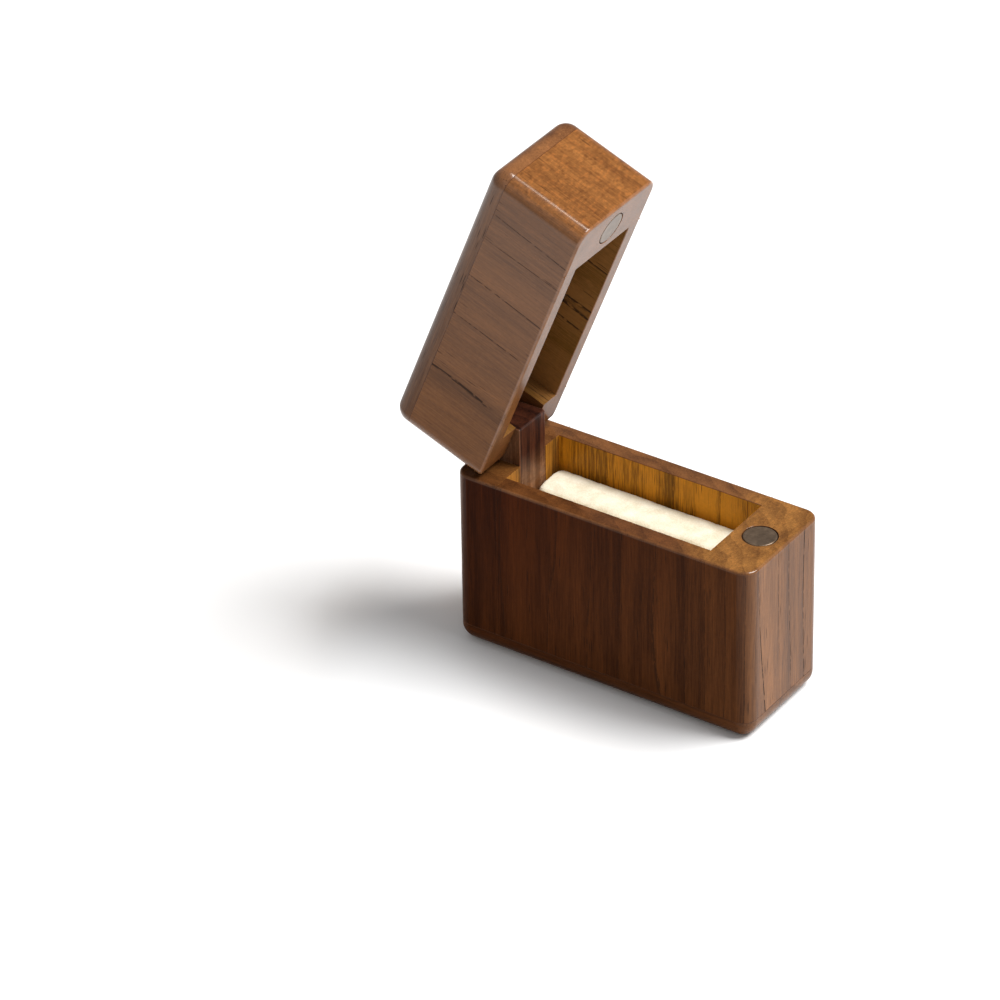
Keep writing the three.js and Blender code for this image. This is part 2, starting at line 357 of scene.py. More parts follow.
# Spans are (from, to) limits of a mask; colours are linear
woodShape = {
    "heart": (9, 42),              # how far off the middle of the tree lies, in millimetres
    "waver": 7.5,                  # how far the rings wander
    "lateSpan": (0.25, 0.93), "lateEnd": (1.0, 0.95), "lateWood": 0.42,
    "bandContrast": 2.6, "fibreContrast": 1.3, "fineContrast": 1.1,
    "cavityDark": (0.11, 0.05, 0.006, 1), "cavitySpan": (0.62, 0.05, 0, 0.85),
    "mottleWhenCold": 0.25,        # mottling left where the wood is not warm
    "fleckSpan": (0.5, 0.66), "shadeSpan": (0.5, 0.34), "patchSpan": (0.35, 0.65, 0.4, 1),
    "fleckShare": 0.55, "fleckColour": (1.75, 1.6, 1.45, 1),
    "shadeShare": 0.75, "shadeColour": (0.5, 0.42, 0.36, 1),
    "poreScale": (3.4, 3.4, 0.17), "poreSpan": (0.26, 0.1), "poreLeast": 0.08,
    "openStart": (0.0, 0.08), "openEnd": (0.5, 0.12),
    "splitStart": (0.952, 0.98), "splitEnd": (1.0, 0.992),
    "splitRunSpan": (0.34, 0.42), "splitRoughSpan": (0.36, 0.5),
    "calmWhenWarm": 0.8, "calmWhenDarkened": 0.7,
    "lineShare": 0.86, "lineColour": (0.016, 0.008, 0.005, 1),
    "rubSpan": (0.35, 0.62, 0.35, 1),
    "fibreHeight": 0.25, "rippleHeight": 2.2,
    "roughness": 0.3, "hazeRoughness": 0.2, "lineRoughness": 0.3, "lineDulling": 0.7,
}


# Growth rings, fibres, pores, splits and mottling; Place is in millimetres with the grain along Z
def woodFigureGroup():
    tree = bpy.data.node_groups.new("woodFigure", "ShaderNodeTree")
    given = groupInputs(tree, [
        (name, "NodeSocketVector", None) for name in ("Place", "Marks", "Tones")] + [
        (name, "NodeSocketColor" if isinstance(value, tuple) else "NodeSocketFloat", None)
        for name, value in woodFinishes["baseWood"].items()])
    for name, kind in [("Color", "NodeSocketColor"), ("Height", "NodeSocketFloat"),
                       ("Roughness", "NodeSocketFloat"), ("Lacquer", "NodeSocketFloat")]:
        tree.interface.new_socket(name, in_out="OUTPUT", socket_type=kind)

    def stretched(scale, offset=(0, 0, 0)):
        return addNode(tree, "ShaderNodeMapping", {
            "Vector": given["Place"], "Location": offset, "Scale": scale}).outputs[0]

    def cloud(name):
        scale, detail, offset, roughness, distortion = woodClouds[name]
        return addNode(tree, "ShaderNodeTexNoise", {
            "Vector": stretched(scale, offset), "Scale": 1, "Detail": detail,
            "Roughness": roughness, "Distortion": distortion}).outputs["Fac"]

    def number(operation, first, second=None):
        sockets = {0: first} if second is None else {0: first, 1: second}
        return addNode(tree, "ShaderNodeMath", sockets, operation=operation).outputs[0]

    def times(first, *others):
        for other in others:
            first = number("MULTIPLY", first, other)
        return first

    # how far a cloud lifts or lowers the tone round its middle
    def swing(value, *strengths):
        return times(number("SUBTRACT", value, 0.5), times(*strengths))

    # what a mask leaves once a share of it is taken off
    def without(mask, share=1):
        return number("SUBTRACT", 1, times(mask, share))

    def between(value, low, high, toLow=0, toHigh=1):
        return addNode(tree, "ShaderNodeMapRange", {
            "Value": value, "From Min": low, "From Max": high,
            "To Min": toLow, "To Max": toHigh}, interpolation_type="SMOOTHSTEP").outputs[0]

    def inSpan(value, name):
        return between(value, *woodShape[name])

    def mixed(factor, first, second, blend="MIX"):
        mix = addNode(tree, "ShaderNodeMix", {0: factor, 6: first, 7: second},
                      data_type="RGBA", blend_type=blend)
        return mix.outputs[2]

    # sanded edge, cavity side and end grain; lacquer, warmth (with a painted pool of light on one
    # hinge block) and dark stain (with painted shade on the base's front)
    worn, inside, endGrain = addNode(tree, "ShaderNodeSeparateXYZ", {0: given["Marks"]}).outputs
    polish, warmth, stain = addNode(tree, "ShaderNodeSeparateXYZ", {0: given["Tones"]}).outputs

    # rings round a far heart: bands on the long faces, arcs on the end grain
    parts = addNode(tree, "ShaderNodeSeparateXYZ", {0: given["Place"]}).outputs
    flat = addNode(tree, "ShaderNodeCombineXYZ", {
        0: number("ADD", parts[0], woodShape["heart"][0]),
        1: number("ADD", parts[1], woodShape["heart"][1]), 2: 0}).outputs[0]
    heart = addNode(tree, "ShaderNodeVectorMath", {0: flat}, operation="LENGTH").outputs["Value"]
    bent = number("ADD", heart, times(cloud("waver"), woodShape["waver"]))
    ring = number("FRACT", number("DIVIDE", bent, given["Ring width"]))
    late = times(inSpan(ring, "lateSpan"), inSpan(ring, "lateEnd"))
    fibre = cloud("fibre")
    tone = number("ADD", 0.5, swing(
        cloud("band"), given["Band strength"], woodShape["bandContrast"]))
    tone = number("ADD", tone, swing(fibre, given["Fibre strength"], woodShape["fibreContrast"]))
    tone = number("ADD", tone, swing(cloud("fineFibre"), woodShape["fineContrast"]))
    lateStrength = times(given["Band strength"], woodShape["lateWood"])
    tone = number("SUBTRACT", tone, times(late, lateStrength))
    tone = number("MAXIMUM", number("MINIMUM", tone, 1), 0)
    # cavity faces keep a yellower tone: raw wood, and in the base also painted bounce light
    insideTone = mixed(inSpan(tone, "cavitySpan"), given["Cavity wood and bounce"], woodShape["cavityDark"])
    colour = mixed(tone, given["Dark wood"], given["Light wood"])
    colour = mixed(warmth, colour, mixed(tone, given["Warm dark"], given["Warm light"]))
    # dark stain, and painted shade on the base's front face
    colour = mixed(stain, colour, given["Stain and shade"], "MULTIPLY")
    colour = mixed(inside, colour, insideTone)
    # short flecks across the grain
    fleck = cloud("fleck")
    cold = woodShape["mottleWhenCold"]
    mottle = times(given["Mottle strength"], number("ADD", cold, times(warmth, 1 - cold)))
    fleckMask = times(inSpan(fleck, "fleckSpan"), mottle)
    shadeMask = times(inSpan(fleck, "shadeSpan"), mottle, inSpan(cloud("fleckPatch"), "patchSpan"))
    colour = mixed(times(fleckMask, woodShape["fleckShare"]), colour,
                   woodShape["fleckColour"], "MULTIPLY")
    colour = mixed(times(shadeMask, woodShape["shadeShare"]), colour,
                   woodShape["shadeColour"], "MULTIPLY")
    # pores lie in the open wood of each ring
    pore = addNode(tree, "ShaderNodeTexVoronoi", {
        "Vector": stretched(woodShape["poreScale"]), "Scale": 1, "Randomness": 1}).outputs
    poreSeed = addNode(tree, "ShaderNodeSeparateColor", {0: pore["Color"]}).outputs[0]
    openWood = times(inSpan(ring, "openStart"), inSpan(ring, "openEnd"))
    likely = times(given["Pore amount"], number("ADD", woodShape["poreLeast"], openWood))
    poreMask = times(number("LESS_THAN", poreSeed, likely), inSpan(pore["Distance"], "poreSpan"))
    # long thin splits where one ring ends, few of them in warm, stained or end grain wood
    splitMask = times(inSpan(ring, "splitStart"), inSpan(ring, "splitEnd"),
                      inSpan(cloud("splitRun"), "splitRunSpan"),
                      inSpan(cloud("splitRough"), "splitRoughSpan"), given["Split amount"])
    # long thin splits where one ring ends, few of them in warm, darkened (stain and painted shade)
    # or end grain wood
    splitMask = times(splitMask, without(warmth, woodShape["calmWhenWarm"]),
                      without(stain, woodShape["calmWhenDarkened"]), without(endGrain))
    dark = number("MAXIMUM", poreMask, splitMask)
    colour = mixed(times(dark, woodShape["lineShare"]), colour, woodShape["lineColour"])
    # handling has rubbed the sanded edges lighter
    wear = times(worn, inSpan(cloud("rub"), "rubSpan"), given["Edge wear"])
    colour = mixed(wear, colour, given["Worn edge"])
    height = number("SUBTRACT", times(fibre, woodShape["fibreHeight"]), dark)
    height = number("ADD", height, times(cloud("ripple"), woodShape["rippleHeight"]))
    rough = number("ADD", woodShape["roughness"], times(cloud("haze"), woodShape["hazeRoughness"]))
    rough = number("ADD", rough, times(dark, woodShape["lineRoughness"]))
    gloss = times(polish, without(dark, woodShape["lineDulling"]))
    end = tree.nodes.new("NodeGroupOutput")
    for socket, value in zip(end.inputs, [colour, height, rough, gloss]):
        tree.links.new(value, socket)
    return tree


# What each wood looks like
woodFinishes = {
    "baseWood": {
        "Dark wood": (0.08, 0.03, 0.01), "Light wood": (0.25, 0.102, 0.032),
        # cavity colour: raw lighter wood, pushed brighter and yellower as painted bounce light from
        # the cushion
        "Cavity wood and bounce": (0.62, 0.265, 0.02), "Worn edge": (0.22, 0.09, 0.035),
        "Warm dark": (0.105, 0.04, 0.009), "Warm light": (0.32, 0.14, 0.033),
        "Stain and shade": (0.28, 0.125, 0.02),
        "Band strength": 0.55, "Fibre strength": 0.8, "Ring width": 2.7, "Pore amount": 0.5,
        "Split amount": 1.35, "Mottle strength": 0.55, "Edge wear": 0.3},
    "lidWood": {
        "Dark wood": (0.085, 0.032, 0.01), "Light wood": (0.24, 0.096, 0.031),
        "Cavity wood and bounce": (0.23, 0.105, 0.03), "Worn edge": (0.3, 0.14, 0.07),
        "Warm dark": (0.1, 0.033, 0.008), "Warm light": (0.33, 0.132, 0.034),
        "Stain and shade": (0.6, 0.5, 0.5),
        "Band strength": 0.35, "Fibre strength": 0.45, "Ring width": 4.6, "Pore amount": 0.4,
        "Split amount": 1, "Mottle strength": 0.9, "Edge wear": 0.55},
    "bottomPlateWood": {
        "Dark wood": (0.06, 0.023, 0.008), "Light wood": (0.21, 0.088, 0.031),
        "Cavity wood and bounce": (0.3, 0.15, 0.03), "Worn edge": (0.3, 0.13, 0.06),
        "Warm dark": (0.12, 0.046, 0.009), "Warm light": (0.33, 0.145, 0.026),
        "Stain and shade": (0.3, 0.14, 0.045),
        "Band strength": 0.6, "Fibre strength": 0.8, "Ring width": 3.4, "Pore amount": 0.7,
        "Split amount": 0.4, "Mottle strength": 0.3, "Edge wear": 0.4},
    "topPlateWood": {
        "Dark wood": (0.07, 0.028, 0.012), "Light wood": (0.21, 0.092, 0.038),
        "Cavity wood and bounce": (0.24, 0.11, 0.018), "Worn edge": (0.34, 0.16, 0.08),
        "Warm dark": (0.11, 0.036, 0.01), "Warm light": (0.32, 0.125, 0.034),
        "Stain and shade": (0.6, 0.5, 0.5),
        "Band strength": 0.5, "Fibre strength": 0.8, "Ring width": 3.4, "Pore amount": 0.8,
        "Split amount": 0.2, "Mottle strength": 0.5, "Edge wear": 0.5},
    "tongueWood": {
        "Dark wood": (0.022, 0.008, 0.006), "Light wood": (0.11, 0.036, 0.018),
        "Cavity wood and bounce": (0.22, 0.1, 0.035), "Worn edge": (0.3, 0.13, 0.07),
        "Warm dark": (0.13, 0.055, 0.022), "Warm light": (0.34, 0.18, 0.095),
        "Stain and shade": (0.6, 0.5, 0.5),
        "Band strength": 0.8, "Fibre strength": 0.9, "Ring width": 2.6, "Pore amount": 0.4,
        "Split amount": 0.2, "Mottle strength": 0.7, "Edge wear": 0.8},
}
woodFigure = woodFigureGroup()
lacquer = {"wood": 0.025, "coatRoughness": 0.18, "bump": 0.35, "bumpDepth": 0.03}


def woodMaterial(name, values):
    material, tree, surface = newMaterial(name)
    figure = addNode(tree, "ShaderNodeGroup", node_tree=woodFigure)
    feed(tree, figure, {
        "Place": attributeVector(tree, "grainPlace"), "Marks": attributeVector(tree, "boardMarks"),
        "Tones": attributeVector(tree, "boardTones")})
    for key, value in values.items():
        figure.inputs[key].default_value = (*value, 1) if isinstance(value, tuple) else value
    feed(tree, surface, {
        "Base Color": figure.outputs["Color"], "Roughness": figure.outputs["Roughness"],
        "Coat Weight": figure.outputs["Lacquer"], "Coat Roughness": lacquer["coatRoughness"],
        "Specular IOR Level": lacquer["wood"]})
    addRelief(tree, surface, lacquer["bump"], lacquer["bumpDepth"], figure.outputs["Height"])
    return material


woods = {name: woodMaterial(name, values) for name, values in woodFinishes.items()}
print("wood finishes mixed:", len(woods))

# Each board: wood, slot, grain, the sides brought up to a neighbour across the glue line,
# and the sides that are glued
boardRows = [
    ("base_bottom_plate", "bottomPlateWood", "wood_plate", "x", "", "+z"),
    ("base_front_panel", "baseWood", "wood_panel", "z", "-x +x -z", "-x +x -z"),
    ("base_back_panel", "baseWood", "wood_panel", "z", "-x +x -z", "-x +x -z"),
    ("base_magnet_block", "baseWood", "wood_end", "z", "-z", "-z -x"),
    ("base_hinge_block_front", "baseWood", "wood_end", "z", "-z +y", "-z +y +x"),
    ("base_hinge_block_back", "baseWood", "wood_end", "z", "-z -y", "-z -y +x"),
    ("lid_top_plate", "topPlateWood", "wood_plate", "x", "", "-z"),
    ("lid_front_panel", "lidWood", "wood_panel", "z", "-x +x +z", "-x +x +z"),
    ("lid_back_panel", "lidWood", "wood_panel", "z", "-x +x +z", "-x +x +z"),
    ("lid_magnet_block", "lidWood", "wood_end", "z", "+z", "+z -x"),
    ("lid_hinge_cheek_front", "lidWood", "wood_end", "z", "+z", "+z +x"),
    ("lid_hinge_cheek_back", "lidWood", "wood_end", "z", "+z", "+z +x"),
    ("lid_hinge_bridge", "lidWood", "wood_end", "z", "+z -y +y", "+z -y +y"),
]
boards = {row[0]: {"wood": row[1], "slot": row[2], "grain": row[3], "grow": row[4].split(),
                   "join": row[5].split()} for row in boardRows}
# Boards with one number share one run of grain
grainSeeds = {"bottomPlateWood": 1, "baseWood": 3, "topPlateWood": 7, "lidWood": 8,
              "tongueWood": 15}
# How much lacquer each side shows, the cavity and the rounded corners
sideLacquer = {
    "base": {"-x": 0.5, "+x": 0.45, "-y": 0.01, "+y": 0.5, "-z": 0.2, "+z": 0.3},
    "lid": {"-x": 0.5, "+x": 0.25, "-y": 0.75, "+y": 0.5, "-z": 0.6, "+z": 0.5},
    "inside": 0.1,
    "corners": {"base": 0.5, "lid": 1.0},
    "cornerGain": 3,
}
# How warmth, dark stain, painted light and shade, and lacquer change over the boards; spans are
# places in millimetres
toneRules = {
    "lid": {"polishAtHinge": 0.35, "polishSpan": (-22, 18), "warmGain": 2, "warmSpan": (0, 3),
            "topPlateWarm": 0.4},
    "tongue": {"warmFade": (24, 30), "frontWarm": 0.7, "topStain": 0.55, "polish": 0.35,
               "cornerPolish": 0.5},
    "base": {"rimWarmSpan": (-6, 0.5),  # from the free end of the cavity
             # painted light: a warm, lighter pool on the front hinge block's rim beside the tongue
             "blockLitPatch": 0.8, "litPatchAlongY": (-6.5, -3.6), "litPatchAlongX": (-24, -19),
             # front face of the base: partly the front panel's darker wood, partly painted shade,
             # darkest towards the hinge end and a little less dark near the bottom
             "frontStainAndShade": 0.72, "frontShadeSpan": (-6, 24), "lowShadeKept": 0.86, "lowShadeSpan": (3, 28),
             "frontRimStain": 0.5, "rimStain": 0.14},
    "jointStain": 0.7,       # the line where a plate meets the rest
    "hingeBlockInside": 0.45,  # share of the cavity's tone on the hinge blocks
    "cuts": (-6, -4, -2),    # edge loops at these places from the free end of the cavity
}
axes = {"x": 0, "y": 1, "z": 2}


# A board's block: outer sides run past the rounded form, glued sides meet the neighbour
def boardBlock(node):
    low, high = shutBox(node)
    glue = lidGlue if bodyOf(node) == "lid" else baseGlue
    for side in boards[node]["grow"]:
        i = axes[side[1]]
        if side[0] == "-":
            low[i] -= glue
        else:
            high[i] += glue
    realLow, realHigh = low.copy(), high.copy()
    for i in (0, 1):
        if abs(low[i] - bottomLow[i]) < near:
            low[i] -= spare
        if abs(high[i] - bottomHigh[i]) < near:
            high[i] += spare
    if node == "base_bottom_plate":
        low.z -= spare
    if node == "lid_top_plate":
        high.z += spare
    return low, high, realLow, realHigh


# Where a board is drilled: place, turn, radius and depth; far below the box when it is not
def boreOf(node):
    lid = bodyOf(node) == "lid"
    if "magnet_block" in node:
        low, high = shutBox("lid_magnet" if lid else "base_magnet")
        thick = high.z - low.z
        z = high.z - thick + shell["pocketGap"] if lid else low.z + thick - shell["pocketGap"]
        radius = (high.x - low.x) / 2 + shell["magnetGap"]
        return Vector(((low.x + high.x) / 2, 0, z)), (0, 0, 0), radius, 2 * thick
    if "cheek" in node:
        low, high = shutBox("hinge_pin")
        radius, gap = (high.x - low.x) / 2 + shell["pinGap"], shell["pinGap"]
        place = Vector((hingePlace.x, 0, hingePlace.z))
        return place, (math.pi / 2, 0, 0), radius, high.y - low.y + 2 * gap
    return Vector((0, 0, -10 * shell["farAway"])), (0, 0, 0), 1, 1


def smoothStep(low, high, value):
    t = min(max((value - low) / (high - low), 0), 1)
    return t * t * (3 - 2 * t)


def indoorsAt(place, box):
    return all(box[0][i] - near < place[i] < box[1][i] + near for i in range(3))


# Warmth (with painted light), dark stain (with painted shade) and lacquer at one place of each kind
# of board; share tells where it faces
def lidTones(node, share, place, polish, shine):
    rule = toneRules["lid"]
    least = rule["polishAtHinge"]
    polish *= least + (1 - least) * smoothStep(*rule["polishSpan"], place.x)
    warm = min(rule["warmGain"] * share["+x"], 1) * smoothStep(*rule["warmSpan"], place.x)
    if node == "lid_top_plate":
        warm *= rule["topPlateWarm"]
    return warm, 0.0, polish + shine


def tongueTones(share, place, polish, shine):
    rule = toneRules["tongue"]
    warm = max(1 - smoothStep(*rule["warmFade"], place.z), rule["frontWarm"] * share["-y"])
    stain = rule["topStain"] * share["+z"]
    return warm, stain, polish * rule["polish"] + shine * rule["cornerPolish"]


def baseTones(node, share, place, polish, shine, onFrontRim):
    rule = toneRules["base"]
    warm = share["+z"] * smoothStep(*rule["rimWarmSpan"], place.x - cavityEnd)
    # painted light: a warm, lighter patch on the front hinge block's rim where light falls past the
    # lid's cheek
    if node == "base_hinge_block_front":
        warm = rule["blockLitPatch"] * share["+z"] * smoothStep(*rule["litPatchAlongY"], place.y)
        warm *= smoothStep(*rule["litPatchAlongX"], place.x)
    # painted shade on the front face, partly the front panel's own darker wood: darkest towards the
    # hinge end, a little less dark near the bottom
    least, low = rule["frontStainAndShade"], rule["lowShadeKept"]
    stain = share["-y"] * (least + (1 - least) * (1 - smoothStep(*rule["frontShadeSpan"], place.x)))
    stain *= low + (1 - low) * smoothStep(*rule["lowShadeSpan"], place.z)
    rimStain = rule["frontRimStain"] if onFrontRim else rule["rimStain"]
    return warm, max(stain, share["+z"] * rimStain * (1 - warm)), polish + shine


# Marks: x is a sanded edge, y is a face inside the box, z is end grain
# Tones: x is lacquer, y is warmth and a painted pool of light, z is dark stain and painted shade
def markBoard(mesh, inside, body, node):
    marks = mesh.attributes.new("boardMarks", "FLOAT_VECTOR", "CORNER")
    tones = mesh.attributes.new("boardTones", "FLOAT_VECTOR", "CORNER")
    lacquered = sideLacquer[body]
    insideShare = toneRules["hingeBlockInside"] if "hinge_block" in node else 1.0
    alongGrain = boards.get(node, {}).get("grain") == "z"
    flatVerts = set()
    for face in mesh.polygons:
        if face.material_index == 0:
            flatVerts.update(face.vertices)
    for face in mesh.polygons:
        centre = face.center
        eased = face.material_index == 1
        indoors = indoorsAt(centre, inside)
        onFrontRim = centre.y < -cavityY + 0.1
        fromJoint = min(abs(centre.z - bottomHigh.z), abs(centre.z - lidTopLow.z))
        onJoint = eased and fromJoint < shell["plateEase"] * 1.1
        flat = max(abs(n) for n in face.normal) > 0.995
        for loop in face.loop_indices:
            vertex = mesh.vertices[mesh.loops[loop].vertex_index]
            worn = 1.0 if eased and vertex.index not in flatVerts else 0.0
            normal = face.normal if flat else vertex.normal
            share = {side: max(normal[axes[side[1]]] * (1 if side[0] == "+" else -1), 0) ** 2
                     for side in lacquered}
            polish = sum(lacquered[side] * share[side] for side in share)
            x, y = (share["+" + axis] + share["-" + axis] for axis in "xy")
            corner = x * y if body == "lid" else share["+z"] * (x + y)
            shine = min(sideLacquer["cornerGain"] * math.sqrt(corner), 1)
            shine *= sideLacquer["corners"][body]
            if indoors:
                polish, shine = sideLacquer["inside"], 0
            if body == "lid":
                warm, stain, gloss = lidTones(node, share, vertex.co, polish, shine)
            elif node == "hinge_tongue":
                warm, stain, gloss = tongueTones(share, vertex.co, polish, shine)
            else:
                warm, stain, gloss = baseTones(node, share, vertex.co, polish, shine, onFrontRim)
            if onJoint:
                worn, stain = 0.0, toneRules["jointStain"]
            endGrain = share["+z"] + share["-z"] if alongGrain else 0.0
            marks.data[loop].vector = (worn, insideShare if indoors else 0.0, endGrain)
            tones.data[loop].vector = (min(gloss, 1), warm, stain)
    for face in mesh.polygons:
        face.material_index = 0


# Gives every vertex its place in the board, with the grain along Z, in millimetres
def setGrain(mesh, grain, seed):
    order = {"x": (1, 2, 0), "y": (2, 0, 1), "z": (0, 1, 2)}[grain]
    shift = Vector((seed * 13.7 % 31, seed * 7.3 % 17, seed * 41.9 % 97))
    places = mesh.attributes.new("grainPlace", "FLOAT_VECTOR", "POINT")
    for vertex in mesh.vertices:
        places.data[vertex.index].vector = Vector([vertex.co[i] for i in order]) + shift


# Eases the sharp edges by a width that easeOf gives for each; the eased strips get material slot 1
def easeEdges(mesh, name, wood, easeOf, widest):
    mesh.materials.clear()
    mesh.materials.append(wood)
    mesh.materials.append(wood)
    for face in mesh.polygons:
        face.material_index = 0
    work = bmesh.new()
    work.from_mesh(mesh)
    bmesh.ops.remove_doubles(work, verts=work.verts, dist=0.0005)
    bmesh.ops.dissolve_degenerate(work, edges=work.edges, dist=0.0005)
    bmesh.ops.recalc_face_normals(work, faces=work.faces)
    weights = work.edges.layers.float.new("bevel_weight_edge")
    for edge in work.edges:
        if len(edge.link_faces) == 2 and edge.calc_face_angle() > math.radians(shell["easeFrom"]):
            edge[weights] = easeOf(edge) / widest
    work.to_mesh(mesh)
    work.free()
    holder = addObject(name + "_ease", mesh)
    ease = holder.modifiers.new("ease", "BEVEL")
    ease.limit_method = "WEIGHT"
    ease.offset_type = "OFFSET"
    ease.width = widest
    ease.segments = shell["easeSegments"]
    ease.use_clamp_overlap = False
    ease.material = 1
    ease.miter_outer = "MITER_ARC"
    eased = evaluatedMesh(holder, name)
    bpy.data.objects.remove(holder)
    return eased


# Adds edge loops across X so that tones can change along a board
def cutAcross(mesh, places):
    work = bmesh.new()
    work.from_mesh(mesh)
    for x in places:
        bmesh.ops.bisect_plane(
            work, geom=work.verts[:] + work.edges[:] + work.faces[:], dist=0.0001,
            plane_co=(x, 0, 0), plane_no=(1, 0, 0))
    work.to_mesh(mesh)
    work.free()


# Makes the finished object from a mesh drawn shut, in millimetres
def finishPiece(mesh, name, body, nodes, material=None):
    turn = lidOpen if body == "lid" else Matrix.Identity(4)
    mesh.transform(Matrix.Scale(mm, 4) @ turn)
    if material:
        mesh.materials.clear()
        mesh.materials.append(material)
    else:
        while len(mesh.materials) > 1:
            mesh.materials.pop()
    for face in mesh.polygons:
        face.use_smooth = True
    mesh.set_sharp_from_angle(angle=math.radians(40))
    piece = addObject(name, mesh)
    even = piece.modifiers.new("evenShade", "WEIGHTED_NORMAL")
    even.keep_sharp = True
    even.weight = 100
    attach(piece, body)
    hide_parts(*nodes)
    return piece


# The rounded outside of a body, and the rounding of the lid's heel
def formOf(body):
    far = shell["farAway"]
    past = shell["outerRadius"] + spare
    if body == "base":
        return {"Form low": bottomLow, "Heel radius": 1,
                "Form high": Vector((bottomHigh.x, bottomHigh.y, rimZ + past)),
                "Heel low": Vector((-far, -far, -far)) * 2,
                "Heel high": Vector((far, far, far)) * 2}
    return {"Form low": Vector((bottomLow.x, bottomLow.y, lidRimZ - past)),
            "Form high": lidTopHigh, "Heel radius": heelRadius(),
            "Heel low": Vector((bottomLow.x, -far, lidRimZ)),
            "Heel high": Vector((far, far, far * 2))}


def makeBoard(node):
    board, body = boards[node], bodyOf(node)
    wood = woods[board["wood"]]
    low, high, realLow, realHigh = boardBlock(node)
    borePlace, boreTurn, boreRadius, boreDepth = boreOf(node)
    mesh = meshFromTree(woodTree, node, {
        **formOf(body), "Board low": low, "Board high": high, "Outer radius": shell["outerRadius"],
        "Arc steps": shell["arcSteps"], "Bore place": borePlace, "Bore turn": boreTurn,
        "Bore radius": float(boreRadius), "Bore depth": float(boreDepth), "Wood": wood})

    # width of the joint line on a glued face, or nothing
    def jointAt(face):
        for side in board["join"]:
            i = axes[side[1]]
            plane = realLow[i] if side[0] == "-" else realHigh[i]
            if abs(face.normal[i]) > 0.99 and abs(face.calc_center_median()[i] - plane) < near:
                return shell["plateEase"] if i == 2 else shell["panelEase"]
        return None

    def easeOf(edge):
        middle = (edge.verts[0].co + edge.verts[1].co) / 2
        joints = [jointAt(face) for face in edge.link_faces]
        joints = [width for width in joints if width]
        if joints:
            return min(joints)
        fromBore = (middle - borePlace)
        fromBore[1 if boreTurn[0] else 2] = 0
        if abs(fromBore.length - boreRadius) < 0.1:
            return shell["boreEase"]
        besideTongue = middle.x < cavityStart + near and abs(middle.y) < cheekLow.y + near
        return shell["innerEase" if indoorsAt(middle, cavity) or besideTongue else "outerEase"]

    mesh = easeEdges(mesh, node, wood, easeOf, shell["outerEase"])
    if node in ("base_front_panel", "base_back_panel"):
        cutAcross(mesh, [cavityEnd + x for x in toneRules["cuts"]])
    markBoard(mesh, cavity, body, node)
    setGrain(mesh, board["grain"], grainSeeds[board["wood"]])
    return finishPiece(mesh, node + "_wood", body, [node])


for node in boards:
    makeBoard(node)
print("boards cut:", len(boards))

# The upright board in the hinge; its colour changes between the heights in toneLines
tongue = {"innerRadius": 0.3, "sideEase": 0.12, "headEase": 0.18, "arcSteps": 12, "innerSteps": 5,
          "toneLines": (24, 26, 28, 30)}


# An outline in X and Z given its width along Y
def slabMesh(name, outline, yLow, yHigh):
    work = bmesh.new()
    near = [work.verts.new((x, yLow, z)) for x, z in outline]
    farSide = [work.verts.new((x, yHigh, z)) for x, z in outline]
    work.faces.new(near)
    work.faces.new(list(reversed(farSide)))
    count = len(outline)
    for i in range(count):
        j = (i + 1) % count
        work.faces.new([near[j], near[i], farSide[i], farSide[j]])
    bmesh.ops.recalc_face_normals(work, faces=work.faces)
    mesh = bpy.data.meshes.new(name)
    work.to_mesh(mesh)
    work.free()
    return mesh


def quarterRound(x, z, radius, fromAngle, toAngle, steps):
    places = []
    for i in range(steps + 1):
        a = math.radians(fromAngle + (toAngle - fromAngle) * i / steps)
        places.append((x + radius * math.cos(a), z + radius * math.sin(a)))
    return places


def makeTongue():
    inner = tongue["innerRadius"]
    outer = hingePlace.x - tongueLow.x
    outline = [(tongueLow.x, bottomHigh.z), (tongueHigh.x, bottomHigh.z)]
    outline += [(tongueHigh.x, z) for z in tongue["toneLines"]]
    outline += quarterRound(tongueHigh.x - inner, tongueHigh.z - inner, inner, 0, 90,
                            tongue["innerSteps"])
    outline += quarterRound(hingePlace.x, tongueHigh.z - outer, outer, 90, 180, tongue["arcSteps"])
    outline += [(tongueLow.x, z) for z in reversed(tongue["toneLines"])]
    mesh = slabMesh("hinge_tongue", outline, tongueLow.y, tongueHigh.y)

    def easeOf(edge):
        middle = (edge.verts[0].co + edge.verts[1].co) / 2
        if middle.z < bottomHigh.z + 0.1:
            return shell["plateEase"]
        return tongue["headEase"] if middle.z > rimZ + 0.1 else tongue["sideEase"]

    mesh = easeEdges(mesh, "hinge_tongue", woods["tongueWood"], easeOf, shell["outerEase"])
    nowhere = (Vector((1, 1, 1)), Vector((-1, -1, -1)))
    markBoard(mesh, nowhere, "base", "hinge_tongue")
    setGrain(mesh, "z", grainSeeds["tongueWood"])
    return finishPiece(mesh, "hinge_tongue_wood", "base", ["hinge_tongue"])


makeTongue()
print("tongue shaped")

# Magnets and hinge pin; rim gives the magnet's worn edge as (inward, down) in chamfers
magnetShape = {"chamfer": 0.14, "dish": 0.03, "dishFloor": 0.55, "dishSide": (0.86, 0.4),
               "crest": (1.15, 0.005), "rim": ((0.55, 0.22), (0.16, 0.62), (0, 1.2)), "sides": 72}
pinShape = {"chamfer": 0.15, "sides": 32}


